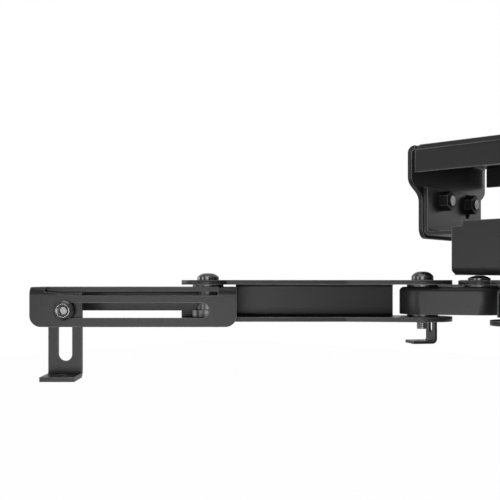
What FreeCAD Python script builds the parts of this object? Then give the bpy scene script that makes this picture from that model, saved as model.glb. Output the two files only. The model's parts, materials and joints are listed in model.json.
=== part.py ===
import FreeCAD, Part
import math
import os

# Ceiling mount for a projector, in folded sheet steel. Millimetres, +Z up.
# The origin is the centre of the face that lies on the ceiling, +X runs along the front lip,
# and -Y is the front. A ceiling bracket carries a tilt bracket, a roll bracket and a swivelling
# hub plate, and four jointed arms end in feet that are screwed to the projector.

# Sheet and fasteners
SHEET = 2.5
BEND_OUTSIDE = 4.0
BOLT_R = 3.0
RUNNING_GAP = 0.08
PLATE_GAP = 0.05
SIDE_GAP = 0.5
HEAD_R = 6.0
NUT_R = 5.7
NUT_HEIGHT = 5.0
SOCKET_R = 2.2
SOCKET_DEPTH = 1.8

# Ceiling bracket
BRACKET_WIDTH = 124.0
BRACKET_DEPTH = 96.0
LIP_HEIGHT = 15.0
LIP_END_GAP = 4.5
LIP_CHAMFER = 4.0
EAR_DROP = 50.7
EAR_TOP_HALF = 47.8
EAR_FOOT_HALF = 35.5
EAR_CURVE_START = 17.0
EAR_CURVE_HEIGHT = 13.0
EAR_CORNER_R = 6.0
CEILING_HOLE_X = 42.0
CEILING_HOLE_Y = 28.0
CEILING_HOLE_R = 3.25
CEILING_SLOT_LENGTH = 14.0
CABLE_HOLE_R = 14.0

# Tilt: two bolts through each ear
TILT_BOLT_Y = 16.0
TILT_BOLT_Z = -28.6
TILT_SLOT_HALF_ANGLE = 10.0
CHEEK_OVER_BOLT = 6.8
EAR_BELOW_TILT = 1.5
TILT_HALF_DEPTH = 35.0
FLANGE_HALF_WIDTH = 34.0
FLANGE_HEM = 7.0
FLANGE_CORNER_R = 6.0

# Roll: bolts through the front and back plates
ROLL_BOLT_DROP = 6.8
ROLL_LOCK_X = 24.0
ROLL_SLOT_HALF_ANGLE = 10.0
ROLL_HALF_WIDTH = 40.6
ROLL_TOP_RISE = 4.4
ROLL_STEP = 2.8
ROLL_STEP_HALF_WIDTH = 34.5
ROLL_FLOOR_GAP = 6.0
ROLL_CORNER_R = 3.0
SIDE_HEAD_HEIGHT = 3.3

# Hub
SWIVEL_GAP = 2.9
SWIVEL_BOLT_R = 4.0
SWIVEL_HEAD_R = 7.5
SWIVEL_HEAD_HEIGHT = 4.5
SWIVEL_NUT_HEIGHT = 6.0
SWIVEL_WASHER_R = 15.0
HUB_PIVOT_X = 27.0
HUB_PIVOT_Y = 33.0
HUB_EAR_R = 11.0
HUB_DISC_R = 24.0
HUB_HEAD_HEIGHT = 2.3
WASHER_R = 8.5
WASHER_HEIGHT = 1.0

# Arms
LINK_LENGTH = 30.0
LINK_HALF_WIDTH = 12.5
LINK_HEIGHT = 14.9
LINK_SLIT_HALF = 2.0
FORK_LENGTH = 118.0
FORK_WASHER_SPACE = 1.2
FORK_HEIGHT = 22.5
FORK_EYE_R = 16.0
FORK_TIP_EYE_R = 14.6
FORK_FRONT = 10.0
FORK_BACK = -12.5
FORK_WEB_START = 14.5
FORK_WEB_END_GAP = 15.0
FORK_TAPER = 43.0
BUSH_R = 6.0
BUSH_FLANGE_HEIGHT = 3.7
INNER_HEAD_HEIGHT = 4.6
OUTER_HEAD_HEIGHT = 3.6
INNER_BOLT_OUT = 4.3
OUTER_BOLT_OUT = 1.3
BOLT_END_SPARE = 1.0

# End channel: a J section with a tall slotted front wall
CHANNEL_TAIL = 16.0
CHANNEL_REACH = 93.6
CHANNEL_INNER_HALF = 15.0
CHANNEL_HEIGHT = 21.2
CHANNEL_BACK_HEIGHT = 13.7
CHANNEL_HEEL = 16.0
CHANNEL_HEEL_HEIGHT = 19.0
CHANNEL_CORNER_R = 6.0
WINDOW_START = -6.0
WINDOW_FROM_END = 8.0
WINDOW_DEPTH = 4.5
WINDOW_TAPER = 18.0
WINDOW_TAPER_RISE = 1.9
SLOT_START = -1.4
SLOT_FROM_END = 12.8
SLOT_HEIGHT = 8.0
SLOT_DROP = 12.4

# Foot
FOOT_WIDTH = 18.0
FOOT_TOP_GAP = 0.5
FOOT_HEIGHT = 45.3
FOOT_REACH = 20.5
FOOT_WALL_GAP = 0.15
FOOT_SLOT_HALF = 3.7
FOOT_SLOT_FROM_TOP = 3.1
FOOT_SLOT_FROM_FOOT = 8.9
FOOT_HOLE_R = 2.75
FOOT_HOLE_FROM_TIP = 8.5
FOOT_HEAD_R = 5.4
FOOT_HEAD_HEIGHT = 3.4

# Each arm: side signs of its hub pivot, plan angles of link, fork and channel, and how far the foot
# is from the channel's end
ARMS = {
    "front_left": (-1, -1, 202.9, 220.6, 220.6, 18.3),
    "rear_right": (1, 1, 22.9, 40.6, 40.6, 18.3),
    "rear_left": (-1, 1, 44.4, 142.0, 140.0, 33.6),
    "front_right": (1, -1, 224.4, 322.0, 320.0, 33.6),
}

# Heights and ends that follow from the sizes above
EAR_CURVE_TOP = -EAR_CURVE_START
EAR_CURVE_FOOT = EAR_CURVE_TOP - EAR_CURVE_HEIGHT
TILT_TOP = TILT_BOLT_Z + CHEEK_OVER_BOLT
TILT_FOOT = EAR_BELOW_TILT - EAR_DROP
ROLL_Z = TILT_FOOT - ROLL_BOLT_DROP
FLANGE_FOOT = ROLL_Z - FLANGE_HEM
ROLL_TOP = TILT_FOOT + ROLL_TOP_RISE
ROLL_FOOT = FLANGE_FOOT - ROLL_FLOOR_GAP - SHEET
HUB_TOP = ROLL_FOOT - SWIVEL_GAP
HUB_FOOT = HUB_TOP - SHEET
LINK_TOP = HUB_FOOT - WASHER_HEIGHT
FORK_UNDER = LINK_TOP + FORK_WASHER_SPACE
FORK_TOP = FORK_UNDER + SHEET
FORK_FOOT = FORK_TOP - FORK_HEIGHT
FORK_SEAT = FORK_FOOT + SHEET
CHANNEL_TOP = LINK_TOP
EAR_INSIDE = BRACKET_WIDTH / 2 - SHEET
TILT_HALF_WIDTH = EAR_INSIDE - SIDE_GAP
ROLL_HALF_DEPTH = TILT_HALF_DEPTH + SIDE_GAP + SHEET
CHANNEL_OUTER_HALF = CHANNEL_INNER_HALF + SHEET
SLOT_Z = CHANNEL_TOP - SLOT_DROP
SLOT_END = CHANNEL_REACH - SLOT_FROM_END
WINDOW_END = CHANNEL_REACH - WINDOW_FROM_END
FOOT_TOP = CHANNEL_TOP - SHEET - FOOT_TOP_GAP
FOOT_BOTTOM = FOOT_TOP - FOOT_HEIGHT
FOOT_SLOT_TOP = FOOT_TOP - FOOT_SLOT_FROM_TOP
FOOT_SLOT_FOOT = FOOT_BOTTOM + FOOT_SLOT_FROM_FOOT
HOLE_R = BOLT_R + RUNNING_GAP

X_AXIS = FreeCAD.Vector(1, 0, 0)
Y_AXIS = FreeCAD.Vector(0, 1, 0)
Z_AXIS = FreeCAD.Vector(0, 0, 1)


def box(x0, x1, y0, y1, z0, z1):
    return Part.makeBox(x1 - x0, y1 - y0, z1 - z0, FreeCAD.Vector(x0, y0, z0))


def rod(x, y, z, axis, length, radius):
    return Part.makeCylinder(radius, length, FreeCAD.Vector(x, y, z), axis)


def upright(x, y, z0, z1, radius):
    return rod(x, y, z0, Z_AXIS, z1 - z0, radius)


def fillet_edges(shape, radius, axis, test):
    """Rounds the straight edges along an axis whose middle passes the test."""
    chosen = []
    for edge in shape.Edges:
        if isinstance(edge.Curve, Part.Line):
            direction = edge.tangentAt(edge.FirstParameter)
            if abs(direction.dot(axis)) > 0.999 and test(edge.CenterOfMass):
                chosen.append(edge)
    return shape.makeFillet(radius, chosen)


def join(first, *others):
    return first.fuse(list(others)).removeSplitter()


def prism(points, axis, length):
    """Extrudes a closed outline of corner points."""
    corners = [FreeCAD.Vector(*point) for point in points]
    face = Part.Face(Part.makePolygon(corners + corners[:1]))
    return face.extrude(axis * length)


def folded(outer, inner, axis, near_bend):
    """A sheet folded twice: a rounded block less the rounded space inside it."""
    skin = fillet_edges(outer, BEND_OUTSIDE, axis, near_bend)
    hollow = fillet_edges(inner, BEND_OUTSIDE - SHEET, axis, near_bend)
    return skin.cut(hollow)


def long_hole_x(x0, x1, y, z0, z1, radius):
    """An upright slot along X, from end to end."""
    middle = box(x0 + radius, x1 - radius, y - radius, y + radius, z0, z1)
    ends = [upright(x0 + radius, y, z0, z1, radius), upright(x1 - radius, y, z0, z1, radius)]
    return join(middle, *ends)


def arc_slot(radius, half_deg, half_width, thickness, placement):
    """A slot bent round a pivot, symmetric about local +X and cut through a flat plate."""
    band = Part.makeCylinder(radius + half_width, thickness, FreeCAD.Vector(), Z_AXIS, 2 * half_deg)
    band = band.cut(Part.makeCylinder(radius - half_width, thickness))
    for angle in (0, 2 * half_deg):
        turn = math.radians(angle)
        band = band.fuse(upright(radius * math.cos(turn), radius * math.sin(turn), 0, thickness, half_width))
    band.rotate(FreeCAD.Vector(), Z_AXIS, -half_deg)
    band.Placement = placement.multiply(band.Placement)
    return band


def screw(head_r, head_height, length, socket_r=SOCKET_R, shank_r=BOLT_R):
    """A domed screw on +Z: the head stands on z = 0 and the shank hangs below."""
    dome_rise = head_height * 0.55
    rim = head_height - dome_rise
    top = FreeCAD.Vector(0, 0, head_height)
    shoulder = FreeCAD.Vector(head_r, 0, rim)
    middle = FreeCAD.Vector(head_r * 0.74, 0, rim + dome_rise * 0.66)
    outline = [
        Part.makeLine(FreeCAD.Vector(0, 0, 0), FreeCAD.Vector(head_r, 0, 0)),
        Part.makeLine(FreeCAD.Vector(head_r, 0, 0), shoulder),
        Part.Arc(shoulder, middle, top).toShape(),
        Part.makeLine(top, FreeCAD.Vector(0, 0, 0)),
    ]
    head = Part.Face(Part.Wire(outline)).revolve(FreeCAD.Vector(0, 0, 0), Z_AXIS, 360)
    depth = min(SOCKET_DEPTH, head_height * 0.6)
    socket = hexagon(socket_r, head_height - depth, head_height + 1)
    shank = Part.makeCylinder(shank_r, length, FreeCAD.Vector(0, 0, -length))
    return join(head.cut(socket), shank)


def hexagon(radius, z0, z1):
    points = []
    for corner in range(6):
        angle = math.radians(60 * corner)
        points.append((radius * math.cos(angle), radius * math.sin(angle), z0))
    return prism(points, Z_AXIS, z1 - z0)


def nut(height, radius=NUT_R, bore_r=BOLT_R):
    """A hexagon nut whose lower face is at z = 0."""
    return hexagon(radius, 0, height).cut(upright(0, 0, -1, height + 1, bore_r))


def along(shape, axis, at):
    """Turns a fastener from +Z to another axis and puts it in its place."""
    placed = shape.copy()
    turn = FreeCAD.Rotation(Z_AXIS, axis)
    placed.Placement = FreeCAD.Placement(FreeCAD.Vector(*at), turn)
    return placed


def disc(outer_r, bore_r, z0, z1):
    return upright(0, 0, z0, z1, outer_r).cut(upright(0, 0, z0 - 1, z1 + 1, bore_r))


def ceiling_bracket():
    w = BRACKET_WIDTH / 2
    d = BRACKET_DEPTH / 2
    lip_end = w - LIP_END_GAP
    lips = folded(
        box(-lip_end, lip_end, -d, d, -LIP_HEIGHT, 0),
        box(-w, w, -d + SHEET, d - SHEET, -LIP_HEIGHT - 1, -SHEET),
        X_AXIS, lambda p: p.z > -SHEET - 0.1)
    ears = folded(
        box(-w, w, -EAR_TOP_HALF, EAR_TOP_HALF, -EAR_DROP, 0),
        box(-EAR_INSIDE, EAR_INSIDE, -d, d, -EAR_DROP - 1, -SHEET),
        Y_AXIS, lambda p: p.z > -SHEET - 0.1)
    ears = ears.common(ear_outline())
    body = join(lips, ears)
    for sx in (-1, 1):
        for sy in (-1, 1):
            tip = (sx * lip_end, sy * (d + 1), 1)
            corner = [tip, (tip[0] - sx * LIP_CHAMFER, tip[1], 1), (tip[0], tip[1], 1 - LIP_CHAMFER)]
            body = body.cut(prism(corner, Y_AXIS, -sy * (SHEET + 1)))
            x = sx * CEILING_HOLE_X
            half = CEILING_SLOT_LENGTH / 2
            body = body.cut(long_hole_x(x - half, x + half, sy * CEILING_HOLE_Y, -SHEET - 1, 1, CEILING_HOLE_R))
    body = body.cut(upright(0, 0, -SHEET - 1, 1, CABLE_HOLE_R))
    for y in (-TILT_BOLT_Y, TILT_BOLT_Y):
        body = body.cut(rod(-w - 1, y, TILT_BOLT_Z, X_AXIS, BRACKET_WIDTH + 2, BOLT_R))
    return body


def ear_outline():
    """The side view of the ears: wide at the fold, drawn in by an S curve, rounded at the foot."""
    w = BRACKET_WIDTH / 2 + 1
    edges = []
    foot = -EAR_DROP
    inner = EAR_FOOT_HALF - EAR_CORNER_R
    diag = EAR_CORNER_R * (1 - math.sqrt(0.5))

    def at(y, z):
        return FreeCAD.Vector(-w, y, z)

    edges.append(Part.makeLine(at(-EAR_TOP_HALF, 1), at(EAR_TOP_HALF, 1)))
    for s in (1, -1):
        bend = Part.BezierCurve()
        middle = (EAR_CURVE_TOP + EAR_CURVE_FOOT) / 2
        bend.setPoles([at(s * EAR_TOP_HALF, EAR_CURVE_TOP), at(s * EAR_TOP_HALF, middle),
                       at(s * EAR_FOOT_HALF, middle), at(s * EAR_FOOT_HALF, EAR_CURVE_FOOT)])
        edges.append(Part.makeLine(at(s * EAR_TOP_HALF, 1), at(s * EAR_TOP_HALF, EAR_CURVE_TOP)))
        edges.append(bend.toShape())
        edges.append(Part.makeLine(at(s * EAR_FOOT_HALF, EAR_CURVE_FOOT),
                                   at(s * EAR_FOOT_HALF, foot + EAR_CORNER_R)))
        edges.append(Part.Arc(at(s * EAR_FOOT_HALF, foot + EAR_CORNER_R),
                              at(s * (EAR_FOOT_HALF - diag), foot + diag), at(s * inner, foot)).toShape())
    edges.append(Part.makeLine(at(inner, foot), at(-inner, foot)))
    outline = Part.Wire(Part.__sortEdges__(edges))
    return Part.Face(outline).extrude(X_AXIS * (2 * w))


def tilt_bracket():
    w = TILT_HALF_WIDTH
    d = TILT_HALF_DEPTH
    floor = TILT_FOOT + SHEET
    near_floor = lambda p: p.z < floor + 0.1
    cheeks = folded(
        box(-w, w, -d, d, TILT_FOOT, TILT_TOP),
        box(-w + SHEET, w - SHEET, -d - 1, d + 1, floor, TILT_TOP + 1),
        Y_AXIS, near_floor)
    f = FLANGE_HALF_WIDTH
    edge = d - BEND_OUTSIDE
    for s in (-1, 1):
        low = min(s * edge, s * (d + 1))
        high = max(s * edge, s * (d + 1))
        cheeks = cheeks.cut(box(-f, f, low, high, TILT_FOOT - 1, floor + 1))
    flanges = folded(
        box(-f, f, -d, d, FLANGE_FOOT, floor),
        box(-f - 1, f + 1, -d + SHEET, d - SHEET, FLANGE_FOOT - 1, TILT_FOOT),
        X_AXIS, lambda p: p.z > TILT_FOOT - 0.1)
    flanges = fillet_edges(flanges, FLANGE_CORNER_R, Y_AXIS, lambda p: p.z < FLANGE_FOOT + 0.1)
    body = join(cheeks, flanges)
    body = body.cut(rod(-w - 1, -TILT_BOLT_Y, TILT_BOLT_Z, X_AXIS, 2 * w + 2, HOLE_R))
    for x in (-w - 1, w - SHEET - 1):
        place = FreeCAD.Placement(FreeCAD.Vector(x, -TILT_BOLT_Y, TILT_BOLT_Z),
                                  FreeCAD.Rotation(FreeCAD.Vector(1, 1, 1), 120))
        body = body.cut(arc_slot(2 * TILT_BOLT_Y, TILT_SLOT_HALF_ANGLE, HOLE_R, SHEET + 2, place))
    for x in (0, ROLL_LOCK_X):
        body = body.cut(rod(x, -d - 1, ROLL_Z, Y_AXIS, 2 * d + 2, BOLT_R))
    return body.cut(upright(0, 0, TILT_FOOT - 1, floor + 1, CABLE_HOLE_R))


def roll_bracket():
    w = ROLL_HALF_WIDTH
    d = ROLL_HALF_DEPTH
    floor = ROLL_FOOT + SHEET
    body = folded(
        box(-w, w, -d, d, ROLL_FOOT, ROLL_TOP + ROLL_STEP),
        box(-w - 1, w + 1, -d + SHEET, d - SHEET, floor, ROLL_TOP + ROLL_STEP + 1),
        X_AXIS, lambda p: p.z < floor + 0.1)
    for s in (-1, 1):
        low = min(s * ROLL_STEP_HALF_WIDTH, s * (w + 1))
        high = max(s * ROLL_STEP_HALF_WIDTH, s * (w + 1))
        body = body.cut(box(low, high, -d - 1, d + 1, ROLL_TOP, 0))
        corner = box(min(s * w, s * (w - ROLL_CORNER_R)), max(s * w, s * (w - ROLL_CORNER_R)),
                     -d - 1, d + 1, ROLL_FOOT, ROLL_FOOT + ROLL_CORNER_R)
        round_part = rod(s * (w - ROLL_CORNER_R), -d - 1, ROLL_FOOT + ROLL_CORNER_R, Y_AXIS,
                         2 * d + 2, ROLL_CORNER_R)
        plates = box(-w, w, -d - 1, -d + BEND_OUTSIDE, ROLL_FOOT, 0)
        plates = plates.fuse(box(-w, w, d - BEND_OUTSIDE, d + 1, ROLL_FOOT, 0))
        body = body.cut(corner.cut(round_part).common(plates))
    body = body.cut(rod(0, -d - 1, ROLL_Z, Y_AXIS, 2 * d + 2, HOLE_R))
    for y in (-d - 1, d - SHEET - 1):
        place = FreeCAD.Placement(FreeCAD.Vector(0, y, ROLL_Z), FreeCAD.Rotation(X_AXIS, -90))
        body = body.cut(arc_slot(ROLL_LOCK_X, ROLL_SLOT_HALF_ANGLE, HOLE_R, SHEET + 2, place))
    return body.cut(upright(0, 0, ROLL_FOOT - 1, floor + 1, SWIVEL_BOLT_R))


def side_fasteners():
    """Bolts, with heads outside, and nuts inside, for the tilt and roll pivots and locks."""
    w = BRACKET_WIDTH / 2
    d = ROLL_HALF_DEPTH + PLATE_GAP
    tilt_grip = SHEET + SIDE_GAP + SHEET + PLATE_GAP
    roll_grip = 2 * SHEET + SIDE_GAP + PLATE_GAP
    tilt_screw = screw(HEAD_R, SIDE_HEAD_HEIGHT, tilt_grip + NUT_HEIGHT + BOLT_END_SPARE)
    roll_screw = screw(HEAD_R, SIDE_HEAD_HEIGHT, roll_grip + NUT_HEIGHT + BOLT_END_SPARE)
    groups = {"tilt_pivot_bolts": [], "tilt_lock_bolts": [], "tilt_nuts": [],
              "roll_pivot_bolts": [], "roll_lock_bolts": [], "roll_nuts": []}
    for s in (-1, 1):
        for name, y in (("tilt_pivot_bolts", -TILT_BOLT_Y), ("tilt_lock_bolts", TILT_BOLT_Y)):
            groups[name].append(along(tilt_screw, X_AXIS * s, (s * w, y, TILT_BOLT_Z)))
            groups["tilt_nuts"].append(
                along(nut(NUT_HEIGHT), X_AXIS * -s, (s * (w - tilt_grip), y, TILT_BOLT_Z)))
        for name, x in (("roll_pivot_bolts", 0), ("roll_lock_bolts", ROLL_LOCK_X)):
            groups[name].append(along(roll_screw, Y_AXIS * s, (x, s * d, ROLL_Z)))
            groups["roll_nuts"].append(
                along(nut(NUT_HEIGHT), Y_AXIS * -s, (x, s * (d - roll_grip), ROLL_Z)))
    return {name: Part.makeCompound(solids) for name, solids in groups.items()}


def hub_plate():
    """A pressed plate with an eye at each corner and a broad middle."""
    body = upright(0, 0, HUB_FOOT, HUB_TOP, HUB_DISC_R)
    reach = math.hypot(HUB_PIVOT_X, HUB_PIVOT_Y)
    angle = math.degrees(math.atan2(HUB_PIVOT_Y, HUB_PIVOT_X))
    for turn in (angle, -angle):
        spoke = box(-reach, reach, -HUB_EAR_R, HUB_EAR_R, HUB_FOOT, HUB_TOP)
        for s in (-1, 1):
            spoke = spoke.fuse(upright(s * reach, 0, HUB_FOOT, HUB_TOP, HUB_EAR_R))
        spoke.rotate(FreeCAD.Vector(), Z_AXIS, turn)
        body = body.fuse(spoke)
    body = body.removeSplitter().cut(upright(0, 0, HUB_FOOT - 1, HUB_TOP + 1, SWIVEL_BOLT_R + RUNNING_GAP))
    for sx in (-1, 1):
        for sy in (-1, 1):
            body = body.cut(upright(sx * HUB_PIVOT_X, sy * HUB_PIVOT_Y, HUB_FOOT - 1, HUB_TOP + 1, BOLT_R))
    return body


def link():
    """Pressed inverted channel between two pivots, with a slit at each nose."""
    foot = LINK_TOP - LINK_HEIGHT
    outer = stadium(LINK_HALF_WIDTH, foot, LINK_TOP)
    rim = [e for e in outer.Edges if abs(e.CenterOfMass.z - LINK_TOP) < 0.01]
    outer = outer.makeFillet(SHEET, rim)
    inner = stadium(LINK_HALF_WIDTH - SHEET, foot - 1, LINK_TOP - SHEET)
    body = outer.cut(inner)
    tip = LINK_HALF_WIDTH + 1
    hollow = LINK_HALF_WIDTH - SHEET - 1
    for x0, x1 in ((-tip, -hollow), (LINK_LENGTH + hollow, LINK_LENGTH + tip)):
        body = body.cut(box(x0, x1, -LINK_SLIT_HALF, LINK_SLIT_HALF, foot - 1, LINK_TOP - SHEET))
    for x in (0, LINK_LENGTH):
        body = body.cut(upright(x, 0, foot, LINK_TOP + 1, HOLE_R))
    return body


def stadium(half_width, z0, z1):
    middle = box(0, LINK_LENGTH, -half_width, half_width, z0, z1)
    return join(middle, upright(0, 0, z0, z1, half_width), upright(LINK_LENGTH, 0, z0, z1, half_width))


def fork():
    """Channel with its web behind, whose flanges run on as an eye at each pivot."""
    web_end = FORK_LENGTH - FORK_WEB_END_GAP
    body = folded(
        box(FORK_WEB_START, web_end, FORK_BACK, FORK_FRONT, FORK_FOOT, FORK_TOP),
        box(FORK_WEB_START - 1, web_end + 1, FORK_BACK + SHEET, FORK_FRONT + 1, FORK_SEAT, FORK_UNDER),
        X_AXIS, lambda p: p.y < FORK_BACK + SHEET + 0.1)
    keep = FORK_BACK + BEND_OUTSIDE
    for z0, z1 in ((FORK_UNDER, FORK_TOP), (FORK_FOOT, FORK_SEAT)):
        eye = upright(0, 0, z0, z1, FORK_EYE_R)
        tip = upright(FORK_LENGTH, 0, z0, z1, FORK_TIP_EYE_R)
        strip = box(0, FORK_LENGTH, keep, FORK_FRONT, z0, z1)
        taper = prism([(0, -FORK_EYE_R, z0), (FORK_TAPER, keep, z0), (FORK_TAPER, FORK_FRONT, z0),
                       (0, FORK_EYE_R, z0)], Z_AXIS, z1 - z0)
        body = body.fuse([eye, tip, strip, taper])
    body = body.removeSplitter()
    for x in (0, FORK_LENGTH):
        body = body.cut(upright(x, 0, FORK_FOOT - 1, FORK_TOP + 1, BOLT_R))
    return body


def fork_fasteners():
    pieces = {"bolts": [], "bushes": [], "washers": []}
    ends = ((0, INNER_HEAD_HEIGHT, INNER_BOLT_OUT), (FORK_LENGTH, OUTER_HEAD_HEIGHT, OUTER_BOLT_OUT))
    for x, head_height, out in ends:
        bolt = screw(HEAD_R, head_height, FORK_HEIGHT + out)
        bolt.translate(FreeCAD.Vector(x, 0, FORK_TOP))
        bush = join(
            disc(BUSH_R, BOLT_R, FORK_SEAT, LINK_TOP - SHEET - PLATE_GAP),
            disc(WASHER_R, BOLT_R, FORK_SEAT, FORK_SEAT + BUSH_FLANGE_HEIGHT))
        bush.translate(FreeCAD.Vector(x, 0, 0))
        washer = disc(WASHER_R, BOLT_R, LINK_TOP + PLATE_GAP, FORK_UNDER)
        washer.translate(FreeCAD.Vector(x, 0, 0))
        pieces["bolts"].append(bolt)
        pieces["bushes"].append(bush)
        pieces["washers"].append(washer)
    return {name: Part.makeCompound(solids) for name, solids in pieces.items()}


def end_channel():
    """J section: top, tall front wall with a long slot, and a short back wall that is deeper at its heel."""
    foot = CHANNEL_TOP - CHANNEL_HEIGHT
    h = CHANNEL_OUTER_HALF
    body = folded(
        box(-CHANNEL_TAIL, CHANNEL_REACH, -h, h, foot, CHANNEL_TOP),
        box(-CHANNEL_TAIL - 1, CHANNEL_REACH + 1, -CHANNEL_INNER_HALF, CHANNEL_INNER_HALF,
            foot - 1, CHANNEL_TOP - SHEET),
        X_AXIS, lambda p: p.z > CHANNEL_TOP - SHEET - 0.1)
    back = -CHANNEL_INNER_HALF + SHEET
    body = body.cut(box(CHANNEL_HEEL, CHANNEL_REACH + 1, -h - 1, back, foot - 1, CHANNEL_TOP - CHANNEL_BACK_HEIGHT))
    body = body.cut(box(-1, CHANNEL_HEEL, -h - 1, back, foot - 1, CHANNEL_TOP - CHANNEL_HEEL_HEIGHT))
    tail = box(-CHANNEL_TAIL - 1, 0, -h - 1, CHANNEL_INNER_HALF - BEND_OUTSIDE, foot - 1, CHANNEL_TOP + 1)
    body = body.cut(tail.cut(upright(0, 0, CHANNEL_TOP - SHEET, CHANNEL_TOP, CHANNEL_TAIL)))
    body = fillet_edges(body, CHANNEL_CORNER_R, Y_AXIS, lambda p: p.z < foot + 0.1 and p.y > 0)
    sill = CHANNEL_TOP - WINDOW_DEPTH
    inside = CHANNEL_INNER_HALF - SHEET - 2 * FOOT_WALL_GAP
    window = prism([
        (WINDOW_START, inside, CHANNEL_TOP + 1), (WINDOW_START, inside, sill),
        (WINDOW_END - WINDOW_TAPER, inside, sill), (WINDOW_END, inside, sill + WINDOW_TAPER_RISE),
        (WINDOW_END, inside, CHANNEL_TOP + 1)], Y_AXIS, h)
    body = body.cut(window)
    body = body.cut(box(WINDOW_START, WINDOW_END, inside, CHANNEL_INNER_HALF, sill, CHANNEL_TOP + 1))
    r = SLOT_HEIGHT / 2
    wall = CHANNEL_INNER_HALF - 1
    slot = box(SLOT_START + r, SLOT_END - r, wall, h + 1, SLOT_Z - r, SLOT_Z + r)
    for x in (SLOT_START + r, SLOT_END - r):
        slot = slot.fuse(rod(x, wall, SLOT_Z, Y_AXIS, SHEET + 2, r))
    body = body.cut(slot)
    return body.cut(upright(0, 0, CHANNEL_TOP - SHEET - 1, CHANNEL_TOP + 1, HOLE_R))


def foot(x):
    """Folded foot: a slotted upright inside the front wall, and a plate under the projector side."""
    back = CHANNEL_INNER_HALF - FOOT_WALL_GAP - SHEET
    front = back + FOOT_REACH
    w = FOOT_WIDTH / 2
    body = folded(
        box(x - w, x + w, back, front, FOOT_BOTTOM, FOOT_TOP),
        box(x - w - 1, x + w + 1, back + SHEET, front + 1, FOOT_BOTTOM + SHEET, FOOT_TOP + 1),
        X_AXIS, lambda p: p.z < FOOT_BOTTOM + SHEET + 0.1 and p.y < back + SHEET + 0.1)
    r = FOOT_SLOT_HALF
    slot = box(x - r, x + r, back - 1, back + SHEET + 1, FOOT_SLOT_FOOT + r, FOOT_SLOT_TOP - r)
    for z in (FOOT_SLOT_FOOT + r, FOOT_SLOT_TOP - r):
        slot = slot.fuse(rod(x, back - 1, z, Y_AXIS, SHEET + 2, r))
    body = body.cut(slot)
    hole_y = front - FOOT_HOLE_FROM_TIP
    return body.cut(upright(x, hole_y, FOOT_BOTTOM - 1, FOOT_BOTTOM + SHEET + 1, FOOT_HOLE_R))


def foot_fasteners(x):
    face = CHANNEL_OUTER_HALF + PLATE_GAP
    seat = CHANNEL_INNER_HALF - FOOT_WALL_GAP - SHEET - PLATE_GAP
    bolt = screw(FOOT_HEAD_R, FOOT_HEAD_HEIGHT, face - seat + NUT_HEIGHT + BOLT_END_SPARE)
    return (along(bolt, Y_AXIS, (x, face, SLOT_Z)),
            along(nut(NUT_HEIGHT), Y_AXIS * -1, (x, seat, SLOT_Z)))


def placed(shape, x, y, angle):
    shape = shape.copy()
    shape.rotate(FreeCAD.Vector(), Z_AXIS, angle)
    shape.translate(FreeCAD.Vector(x, y, 0))
    return shape


def arm(name, side_x, side_y, link_angle, fork_angle, channel_angle, foot_from_end):
    x0 = side_x * HUB_PIVOT_X
    y0 = side_y * HUB_PIVOT_Y
    x1 = x0 + LINK_LENGTH * math.cos(math.radians(link_angle))
    y1 = y0 + LINK_LENGTH * math.sin(math.radians(link_angle))
    x2 = x1 + FORK_LENGTH * math.cos(math.radians(fork_angle))
    y2 = y1 + FORK_LENGTH * math.sin(math.radians(fork_angle))
    foot_x = CHANNEL_REACH - foot_from_end
    nodes = {name + "_link": placed(link(), x0, y0, link_angle)}
    nodes[name + "_fork"] = placed(fork(), x1, y1, fork_angle)
    for kind, shape in fork_fasteners().items():
        nodes[name + "_fork_" + kind] = placed(shape, x1, y1, fork_angle)
    nodes[name + "_end_channel"] = placed(end_channel(), x2, y2, channel_angle)
    nodes[name + "_foot"] = placed(foot(foot_x), x2, y2, channel_angle)
    bolt, fixing = foot_fasteners(foot_x)
    nodes[name + "_foot_screw"] = placed(bolt, x2, y2, channel_angle)
    nodes[name + "_foot_nut"] = placed(fixing, x2, y2, channel_angle)
    return nodes


def hub_fasteners():
    """The swivel bolt with its washer and nut, and the four link pivots."""
    head_seat = ROLL_FOOT + SHEET
    length = head_seat - HUB_FOOT + PLATE_GAP + SWIVEL_NUT_HEIGHT + 1
    swivel = screw(SWIVEL_HEAD_R, SWIVEL_HEAD_HEIGHT, length, SWIVEL_BOLT_R * 0.75, SWIVEL_BOLT_R)
    swivel.translate(FreeCAD.Vector(0, 0, head_seat))
    swivel_nut = nut(SWIVEL_NUT_HEIGHT, SWIVEL_HEAD_R, SWIVEL_BOLT_R)
    swivel_nut.translate(FreeCAD.Vector(0, 0, HUB_FOOT - PLATE_GAP - SWIVEL_NUT_HEIGHT))
    nodes = {"swivel_bolt": swivel, "swivel_nut": swivel_nut}
    nodes["swivel_washer"] = disc(SWIVEL_WASHER_R, SWIVEL_BOLT_R, HUB_TOP + PLATE_GAP, ROLL_FOOT)
    under_link = LINK_TOP - SHEET - PLATE_GAP
    pivots = {"link_pivot_screws": [], "link_pivot_nuts": [], "link_pivot_washers": []}
    pivot = screw(HEAD_R, HUB_HEAD_HEIGHT, HUB_TOP - under_link + NUT_HEIGHT + BOLT_END_SPARE)
    for sx in (-1, 1):
        for sy in (-1, 1):
            x = sx * HUB_PIVOT_X
            y = sy * HUB_PIVOT_Y
            pivots["link_pivot_screws"].append(along(pivot, Z_AXIS, (x, y, HUB_TOP)))
            pivots["link_pivot_nuts"].append(along(nut(NUT_HEIGHT), Z_AXIS, (x, y, under_link - NUT_HEIGHT)))
            pivots["link_pivot_washers"].append(
                placed(disc(WASHER_R, BOLT_R, LINK_TOP + PLATE_GAP, HUB_FOOT), x, y, 0))
    for name, solids in pivots.items():
        nodes[name] = Part.makeCompound(solids)
    return nodes


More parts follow.
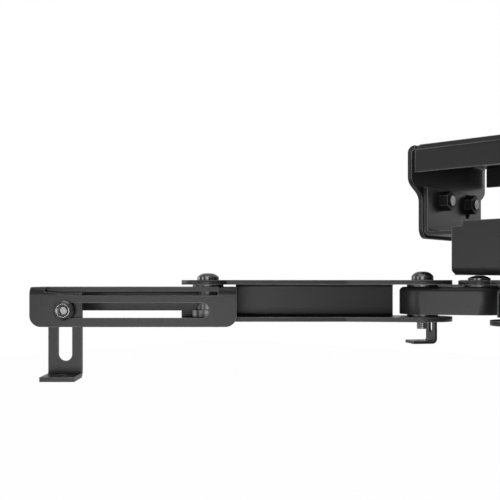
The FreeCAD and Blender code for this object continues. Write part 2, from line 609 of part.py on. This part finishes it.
def mount():
    nodes = {"ceiling_bracket": ceiling_bracket(), "tilt_bracket": tilt_bracket(),
             "roll_bracket": roll_bracket(), "hub_plate": hub_plate()}
    nodes.update(side_fasteners())
    nodes.update(hub_fasteners())
    for name, place in ARMS.items():
        nodes.update(arm(name, *place))
    return nodes


os.makedirs("parts", exist_ok=True)
for node, shape in mount().items():
    shape.exportStep("parts/" + node + ".step")
    print(node, len(shape.Solids), shape.isValid(), round(shape.Volume))
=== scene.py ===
import json
import math
import bpy
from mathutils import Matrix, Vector


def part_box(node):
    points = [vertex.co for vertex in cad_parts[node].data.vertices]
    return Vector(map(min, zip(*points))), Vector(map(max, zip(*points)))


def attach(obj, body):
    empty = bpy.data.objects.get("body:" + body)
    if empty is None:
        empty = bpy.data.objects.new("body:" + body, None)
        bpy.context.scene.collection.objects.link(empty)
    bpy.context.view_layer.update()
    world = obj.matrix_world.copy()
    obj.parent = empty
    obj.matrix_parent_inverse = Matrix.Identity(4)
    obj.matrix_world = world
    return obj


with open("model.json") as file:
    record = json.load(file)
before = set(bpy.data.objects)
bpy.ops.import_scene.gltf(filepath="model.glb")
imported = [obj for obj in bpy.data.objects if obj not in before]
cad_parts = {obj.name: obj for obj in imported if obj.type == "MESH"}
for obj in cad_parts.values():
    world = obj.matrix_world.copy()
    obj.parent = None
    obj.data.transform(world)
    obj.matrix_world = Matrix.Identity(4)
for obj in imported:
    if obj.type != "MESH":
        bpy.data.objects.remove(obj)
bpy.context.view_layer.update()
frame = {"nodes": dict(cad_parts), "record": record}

# Camera
# It stands level with the top of the front arm, about 0.46 m from the hub, and looks past the
# bracket from its front right. The upward shift places the arms below the middle of the picture.
CAMERA_PLACE = (0.154, -0.434, -0.0742)
CAMERA_TURN = 40.6
CAMERA_LENS = 56.4
CAMERA_SENSOR = 36.0
CAMERA_SHIFT_Y = 0.06
CAMERA_CLIP_START = 0.01
camera_data = bpy.data.cameras.new("camera")
camera_data.lens = CAMERA_LENS
camera_data.sensor_width = CAMERA_SENSOR
camera_data.shift_y = CAMERA_SHIFT_Y
camera_data.clip_start = CAMERA_CLIP_START
camera = bpy.data.objects.new("camera", camera_data)
camera.location = CAMERA_PLACE
camera.rotation_euler = (math.radians(90.0), 0.0, math.radians(CAMERA_TURN))
bpy.context.collection.objects.link(camera)
bpy.context.scene.camera = camera
bpy.context.scene.view_settings.view_transform = "Standard"

# Studio
# A pale floor well under the hanging mount, a white surround and five soft lamps. The floor and the
# surround are white where the camera sees them, and light the object plainly.
FLOOR_Z = -0.42
FLOOR_SIZE = 6.0
FLOOR_COLOUR = (0.86, 0.86, 0.86, 1.0)
FLOOR_ROUGHNESS = 0.9
FLOOR_WHITE_SHARE = 0.985
SURROUND_COLOUR = (1.0, 1.0, 1.0, 1.0)
SURROUND_LIGHT = 0.08
SURROUND_WHITE = 1.0


def seen_white(tree):
    """One where the camera, or a mirror or glass on its way, looks at this surface."""
    path = tree.nodes.new("ShaderNodeLightPath")
    seen = path.outputs["Is Camera Ray"]
    for ray in ("Is Glossy Ray", "Is Transmission Ray"):
        either = tree.nodes.new("ShaderNodeMath")
        either.operation = "MAXIMUM"
        tree.links.new(seen, either.inputs[0])
        tree.links.new(path.outputs[ray], either.inputs[1])
        seen = either.outputs[0]
    return seen


bpy.ops.object.select_all(action="DESELECT")
bpy.ops.mesh.primitive_plane_add(size=FLOOR_SIZE, location=(0.0, 0.0, FLOOR_Z))
floor = bpy.context.active_object
floor.name = "studio_floor"
floor_paint = bpy.data.materials.new("studio_floor_paint")
floor_paint.use_nodes = True
tree = floor_paint.node_tree
diffuse = tree.nodes["Principled BSDF"]
diffuse.inputs["Base Color"].default_value = FLOOR_COLOUR
diffuse.inputs["Roughness"].default_value = FLOOR_ROUGHNESS
glow = tree.nodes.new("ShaderNodeEmission")
mix = tree.nodes.new("ShaderNodeMixShader")
share = tree.nodes.new("ShaderNodeMath")
share.operation = "MULTIPLY"
share.inputs[1].default_value = FLOOR_WHITE_SHARE
tree.links.new(seen_white(tree), share.inputs[0])
tree.links.new(share.outputs[0], mix.inputs[0])
tree.links.new(diffuse.outputs[0], mix.inputs[1])
tree.links.new(glow.outputs[0], mix.inputs[2])
tree.links.new(mix.outputs[0], tree.nodes["Material Output"].inputs["Surface"])
floor.data.materials.append(floor_paint)

world = bpy.data.worlds.new("studio_world")
world.use_nodes = True
bpy.context.scene.world = world
tree = world.node_tree
back = tree.nodes["Background"]
back.inputs["Color"].default_value = SURROUND_COLOUR
strength = tree.nodes.new("ShaderNodeMapRange")
strength.inputs["To Min"].default_value = SURROUND_LIGHT
strength.inputs["To Max"].default_value = SURROUND_WHITE
tree.links.new(seen_white(tree), strength.inputs["Value"])
tree.links.new(strength.outputs["Result"], back.inputs["Strength"])


def softbox(name, place, aim, size, watts):
    """A rectangular lamp, turned from its place towards aim."""
    lamp = bpy.data.lights.new(name, "AREA")
    lamp.shape = "RECTANGLE"
    lamp.size = size[0]
    lamp.size_y = size[1]
    lamp.energy = watts
    box = bpy.data.objects.new(name, lamp)
    box.location = place
    box.rotation_euler = (Vector(aim) - Vector(place)).to_track_quat("-Z", "Y").to_euler()
    bpy.context.collection.objects.link(box)


softbox("key_softbox", place=(0.38, -0.91, -0.19), aim=(-0.12, -0.1, -0.09), size=(0.45, 0.28), watts=7.6)
softbox("fill_softbox", place=(-0.35, -0.9, -0.15), aim=(-0.1, -0.1, -0.09), size=(0.3, 0.35), watts=3.2)
softbox("side_softbox", place=(-1.05, -0.45, 0.1), aim=(-0.06, -0.04, -0.085), size=(0.35, 0.7), watts=6.5)
softbox("back_softbox", place=(0.55, 1.0, 0.35), aim=(0.0, 0.05, -0.06), size=(0.5, 0.5), watts=4.0)
softbox("top_softbox", place=(0.0, -0.25, 0.95), aim=(-0.05, -0.05, -0.08), size=(0.9, 0.7), watts=6.0)

# Folded sheet steel
# The ceiling, tilt and roll brackets, the hub plate, links, forks, end channels and feet are
# punched and folded from black powder-coated sheet, with a fine orange-peel skin and cut edges
# that the coating rounds over.
POWDER_GRAIN = 1400.0
POWDER_PEEL = 260.0
POWDER_EDGE = 0.0008
SKIN_GRAIN_DEPTH = 0.12
SKIN_GRAIN_DETAIL = 4.0
SKIN_PEEL_DETAIL = 2.0
SKIN_BUMP_HEIGHT = 0.0002
SKIN_EDGE_SAMPLES = 4
TONE_SCALE = 28.0
TONE_DETAIL = 3.0
TONE_SPREAD = 0.15
# Cosines between the rounded normal and the face's own, where the painted edge highlight starts and where
# it is full.
EDGE_FLAT = 0.995
EDGE_FULL = 0.85
# The edges get this lighter tone as a painted highlight.
EDGE_HIGHLIGHT_TONE = (0.3, 0.3, 0.305)
# A Mix node has sockets for every kind of value. These three are its colours.
MIX_COLOUR_A = 6
MIX_COLOUR_B = 7
MIX_COLOUR_OUT = 2


def coated_skin_group():
    """Fine grain and peel as a normal, with a mask for a painted highlight on the edges, shared by all the
    coated metal.
    """
    group = bpy.data.node_groups.new("coated skin", "ShaderNodeTree")
    sockets = group.interface
    for name, start in (("Grain Scale", POWDER_GRAIN), ("Grain Depth", SKIN_GRAIN_DEPTH),
                        ("Edge Radius", POWDER_EDGE), ("Tone Spread", TONE_SPREAD)):
        sockets.new_socket(name, in_out="INPUT", socket_type="NodeSocketFloat").default_value = start
    sockets.new_socket("Base", in_out="INPUT", socket_type="NodeSocketColor")
    sockets.new_socket("Edge Highlight Tone", in_out="INPUT", socket_type="NodeSocketColor")
    sockets.new_socket("Color", in_out="OUTPUT", socket_type="NodeSocketColor")
    sockets.new_socket("Roughness Shift", in_out="OUTPUT", socket_type="NodeSocketFloat")
    sockets.new_socket("Normal", in_out="OUTPUT", socket_type="NodeSocketVector")
    nodes = group.nodes
    link = group.links.new
    given = nodes.new("NodeGroupInput")
    out = nodes.new("NodeGroupOutput")
    where = nodes.new("ShaderNodeTexCoord")
    fine = nodes.new("ShaderNodeTexNoise")
    fine.inputs["Detail"].default_value = SKIN_GRAIN_DETAIL
    link(where.outputs["Object"], fine.inputs["Vector"])
    link(given.outputs["Grain Scale"], fine.inputs["Scale"])
    peel = nodes.new("ShaderNodeTexNoise")
    peel.inputs["Scale"].default_value = POWDER_PEEL
    peel.inputs["Detail"].default_value = SKIN_PEEL_DETAIL
    link(where.outputs["Object"], peel.inputs["Vector"])
    both = nodes.new("ShaderNodeMath")
    both.operation = "ADD"
    link(fine.outputs["Fac"], both.inputs[0])
    link(peel.outputs["Fac"], both.inputs[1])
    edge = nodes.new("ShaderNodeBevel")
    edge.samples = SKIN_EDGE_SAMPLES
    link(given.outputs["Edge Radius"], edge.inputs["Radius"])
    bump = nodes.new("ShaderNodeBump")
    bump.inputs["Distance"].default_value = SKIN_BUMP_HEIGHT
    link(given.outputs["Grain Depth"], bump.inputs["Strength"])
    link(both.outputs[0], bump.inputs["Height"])
    link(edge.outputs["Normal"], bump.inputs["Normal"])
    link(bump.outputs["Normal"], out.inputs["Normal"])
    broad = nodes.new("ShaderNodeTexNoise")
    broad.inputs["Scale"].default_value = TONE_SCALE
    broad.inputs["Detail"].default_value = TONE_DETAIL
    link(where.outputs["Object"], broad.inputs["Vector"])
    # The tone of the coat drifts by 1 + spread * (noise - 0.5).
    tone = nodes.new("ShaderNodeMath")
    tone.operation = "MULTIPLY_ADD"
    tone.inputs[2].default_value = 1.0
    centred = nodes.new("ShaderNodeMath")
    centred.operation = "SUBTRACT"
    centred.inputs[1].default_value = 0.5
    link(broad.outputs["Fac"], centred.inputs[0])
    link(centred.outputs[0], tone.inputs[0])
    link(given.outputs["Tone Spread"], tone.inputs[1])
    shade = nodes.new("ShaderNodeVectorMath")
    shade.operation = "SCALE"
    link(given.outputs["Base"], shade.inputs[0])
    link(tone.outputs[0], shade.inputs["Scale"])
    # From here on, the edges are made lighter as a painted highlight wherever the rounded normal turns
    # away from the face, patchy by the broad noise.
    here = nodes.new("ShaderNodeNewGeometry")
    turned = nodes.new("ShaderNodeVectorMath")
    turned.operation = "DOT_PRODUCT"
    link(edge.outputs["Normal"], turned.inputs[0])
    link(here.outputs["Normal"], turned.inputs[1])
    edge_highlight_mask = nodes.new("ShaderNodeMapRange")
    edge_highlight_mask.inputs["From Min"].default_value = EDGE_FLAT
    edge_highlight_mask.inputs["From Max"].default_value = EDGE_FULL
    link(turned.outputs["Value"], edge_highlight_mask.inputs["Value"])
    patchy_edge_highlight = nodes.new("ShaderNodeMath")
    patchy_edge_highlight.operation = "MULTIPLY"
    link(edge_highlight_mask.outputs["Result"], patchy_edge_highlight.inputs[0])
    link(broad.outputs["Fac"], patchy_edge_highlight.inputs[1])
    coat = nodes.new("ShaderNodeMix")
    coat.data_type = "RGBA"
    link(patchy_edge_highlight.outputs[0], coat.inputs["Factor"])
    link(shade.outputs[0], coat.inputs[MIX_COLOUR_A])
    link(given.outputs["Edge Highlight Tone"], coat.inputs[MIX_COLOUR_B])
    link(coat.outputs[MIX_COLOUR_OUT], out.inputs["Color"])
    link(fine.outputs["Fac"], out.inputs["Roughness Shift"])
    return group


coated_skin = coated_skin_group()


def coated(name, colour, rough, rough_spread, grain, depth, edge, metallic=0.0, specular=0.5):
    """A coated, plated or moulded black finish, with its own values in the shared skin.

    The roughness drifts by rough_spread either side of rough. The grain is finer where its value is
    higher, depth is how far it stands out, and edge is the radius in metres of the shaded round on the
    edges and of the painted edge highlight.
    """
    paint = bpy.data.materials.new(name)
    paint.use_nodes = True
    tree = paint.node_tree
    shader = tree.nodes["Principled BSDF"]
    shader.inputs["Metallic"].default_value = metallic
    shader.inputs["Specular IOR Level"].default_value = specular
    skin = tree.nodes.new("ShaderNodeGroup")
    skin.node_tree = coated_skin
    skin.inputs["Grain Scale"].default_value = grain
    skin.inputs["Grain Depth"].default_value = depth
    skin.inputs["Edge Radius"].default_value = edge
    skin.inputs["Base"].default_value = (*colour, 1.0)
    skin.inputs["Edge Highlight Tone"].default_value = (*EDGE_HIGHLIGHT_TONE, 1.0)
    span = tree.nodes.new("ShaderNodeMapRange")
    span.inputs["To Min"].default_value = rough - rough_spread
    span.inputs["To Max"].default_value = rough + rough_spread
    tree.links.new(skin.outputs["Roughness Shift"], span.inputs["Value"])
    tree.links.new(span.outputs["Result"], shader.inputs["Roughness"])
    tree.links.new(skin.outputs["Color"], shader.inputs["Base Color"])
    tree.links.new(skin.outputs["Normal"], shader.inputs["Normal"])
    return paint


def dress(names, paint):
    """Give each of these nodes this one material."""
    for name in names:
        slots = frame["nodes"][name].data.materials
        slots.clear()
        slots.append(paint)


powder_coat = coated("black powder coat", colour=(0.0105, 0.0105, 0.0108), rough=0.36, rough_spread=0.06,
                     grain=POWDER_GRAIN, depth=0.14, edge=POWDER_EDGE, specular=0.1)
ARM_NAMES = ("front_left", "front_right", "rear_left", "rear_right")
sheet_nodes = ["ceiling_bracket", "tilt_bracket", "roll_bracket", "hub_plate"]
for arm in ARM_NAMES:
    for piece in ("link", "fork", "end_channel", "foot"):
        sheet_nodes.append(arm + "_" + piece)
dress(sheet_nodes, powder_coat)

# The nodes come as loose triangles. They are joined, flat faces are made whole, and then every cut
# edge sharper than CUT_EDGE_ANGLE degrees gets a small round.
JOIN_REACH = 0.000001
FLAT_FACE_ANGLE = 0.5
CUT_EDGE_ANGLE = 35.0
EDGE_ROUND = 0.0004
EDGE_SEGMENTS = 2


def round_edges(names, width):
    """The coating rounds the cut edges of the sheet."""
    for name in names:
        piece = frame["nodes"][name]
        weld = piece.modifiers.new("weld", "WELD")
        weld.merge_threshold = JOIN_REACH
        flat = piece.modifiers.new("flat", "DECIMATE")
        flat.decimate_type = "DISSOLVE"
        flat.angle_limit = math.radians(FLAT_FACE_ANGLE)
        rim = piece.modifiers.new("rim", "BEVEL")
        rim.width = width
        rim.segments = EDGE_SEGMENTS
        rim.limit_method = "ANGLE"
        rim.angle_limit = math.radians(CUT_EDGE_ANGLE)


round_edges(sheet_nodes, EDGE_ROUND)

# Screws, bolts and nuts
# Domed socket screws in black oxide, smoother and shinier than the coated sheet round them, and
# hexagon nuts with a dull oiled finish.
black_oxide = coated("black oxide", colour=(0.011, 0.011, 0.0113), rough=0.2, rough_spread=0.04,
                     grain=3200.0, depth=0.06, edge=0.0003, metallic=0.3)
dull_oxide = coated("dull black oxide", colour=(0.008, 0.008, 0.0082), rough=0.52, rough_spread=0.06,
                    grain=2400.0, depth=0.1, edge=0.0003, specular=0.06)
screw_nodes = ["tilt_pivot_bolts", "tilt_lock_bolts", "roll_pivot_bolts", "roll_lock_bolts", "swivel_bolt",
               "link_pivot_screws"]
nut_nodes = ["tilt_nuts", "roll_nuts", "swivel_nut", "link_pivot_nuts"]
for arm in ARM_NAMES:
    screw_nodes.append(arm + "_fork_bolts")
    screw_nodes.append(arm + "_foot_screw")
    nut_nodes.append(arm + "_foot_nut")
dress(screw_nodes, black_oxide)
dress(nut_nodes, dull_oxide)

# Bushes and washers
# Turned spacer bushes between the flanges, in satin black steel, and moulded black nylon washers
# at every pivot.
bush_steel = coated("satin bush steel", colour=(0.016, 0.016, 0.0165), rough=0.34, rough_spread=0.05,
                    grain=2400.0, depth=0.06, edge=0.0003, metallic=0.4)
black_nylon = coated("black nylon", colour=(0.01, 0.01, 0.01), rough=0.38, rough_spread=0.04,
                     grain=900.0, depth=0.05, edge=0.0003)
dress([arm + "_fork_bushes" for arm in ARM_NAMES], bush_steel)
dress([arm + "_fork_washers" for arm in ARM_NAMES] + ["link_pivot_washers", "swivel_washer"], black_nylon)

# Threads on the fork bolts
# The inner bolt of each fork stands out under the lower flange. Its rolled 1 mm thread is a
# helix of V section round the plain shank.
THREAD_PITCH = 0.001
THREAD_ROOT = 0.0027
THREAD_CREST = 0.00325
THREAD_HALF_WIDTH = THREAD_PITCH * 0.46
THREAD_TURNS = 4
THREAD_STEPS = 32
joints = frame["record"]["behaviour"]["joints"]
joint_places = {joint["name"]: joint["pos_m"] for joint in joints if "pos_m" in joint}


def thread(name, x, y, z):
    """A closed V thread that climbs round the upright axis from z."""
    bpy.ops.object.select_all(action="DESELECT")
    bpy.ops.mesh.primitive_circle_add(vertices=3, radius=THREAD_PITCH / 2, location=(0.0, 0.0, 0.0))
    ridge = bpy.context.active_object
    ridge.name = name
    corners = ((THREAD_ROOT, 0.0, -THREAD_HALF_WIDTH), (THREAD_CREST, 0.0, 0.0),
               (THREAD_ROOT, 0.0, THREAD_HALF_WIDTH))
    for vertex, corner in zip(ridge.data.vertices, corners):
        vertex.co = corner
    turn = ridge.modifiers.new("helix", "SCREW")
    turn.axis = "Z"
    turn.screw_offset = THREAD_PITCH
    turn.iterations = THREAD_TURNS
    turn.steps = THREAD_STEPS
    turn.render_steps = THREAD_STEPS
    bpy.ops.object.modifier_apply(modifier=turn.name)
    ridge.location = (x, y, z)
    bpy.ops.object.transform_apply(location=True)
    bpy.ops.object.mode_set(mode="EDIT")
    bpy.ops.mesh.select_all(action="SELECT")
    bpy.ops.mesh.fill_holes(sides=4)
    bpy.ops.mesh.select_all(action="SELECT")
    bpy.ops.mesh.normals_make_consistent(inside=False)
    bpy.ops.object.mode_set(mode="OBJECT")
    ridge.data.materials.append(black_oxide)
    return ridge


for arm in ARM_NAMES:
    bolt_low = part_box(arm + "_fork_bolts")[0][2]
    pivot = joint_places[arm + "_fork_swing"]
    ridge = thread(arm + "_bolt_thread", pivot[0], pivot[1], bolt_low + THREAD_PITCH / 2)
    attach(ridge, arm + "_fork")

# Socket rims of the foot screws
# The hexagon socket of each foot screw has a raised round rim, turned with the head. The rim's much
# lighter metal is a painted highlight, a bright ring standing in for the shine on the domed head.
RIM_RADIUS = 0.0034
RIM_SECTION = 0.0003
RIM_BELOW_TOP = 0.00045
RIM_FLATTEN = 0.8
RIM_STEPS = 64
RIM_SECTION_STEPS = 16
# The light metal of the rim paints a highlight ring on the dark head.
rim_highlight_metal = coated("rim steel with painted highlight", colour=(0.12, 0.12, 0.122), rough=0.26, rough_spread=0.05,
                    grain=2600.0, depth=0.08, edge=0.0002, metallic=1.0)
joint_axes = {joint["name"]: joint["axis"] for joint in joints}


def socket_rim(name, screw_node, outward):
    """A low ring round the socket, on the dome of the head that faces outward."""
    along_slot = Vector((-outward.y, outward.x, 0.0))
    corners = [vertex.co for vertex in frame["nodes"][screw_node].data.vertices]
    front = max(corner.dot(outward) for corner in corners) - RIM_BELOW_TOP
    reaches = [corner.dot(along_slot) for corner in corners]
    heights = [corner.z for corner in corners]
    middle = outward * front + along_slot * ((min(reaches) + max(reaches)) / 2)
    middle.z = (min(heights) + max(heights)) / 2
    bpy.ops.object.select_all(action="DESELECT")
    bpy.ops.mesh.primitive_torus_add(major_segments=RIM_STEPS, minor_segments=RIM_SECTION_STEPS,
                                     major_radius=RIM_RADIUS, minor_radius=RIM_SECTION,
                                     location=(0.0, 0.0, 0.0))
    rim = bpy.context.active_object
    rim.name = name
    rim.scale = (1.0, 1.0, RIM_FLATTEN)
    rim.rotation_euler = outward.to_track_quat("Z", "Y").to_euler()
    rim.location = middle
    bpy.ops.object.transform_apply(location=True, rotation=True, scale=True)
    bpy.ops.object.shade_smooth()
    rim.data.materials.append(rim_highlight_metal)
    return rim


for arm in ARM_NAMES:
    slide = joint_axes[arm + "_foot_along"]
    rim = socket_rim(arm + "_socket_rim", arm + "_foot_screw", Vector((-slide[1], slide[0], 0.0)))
    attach(rim, arm + "_carriage")
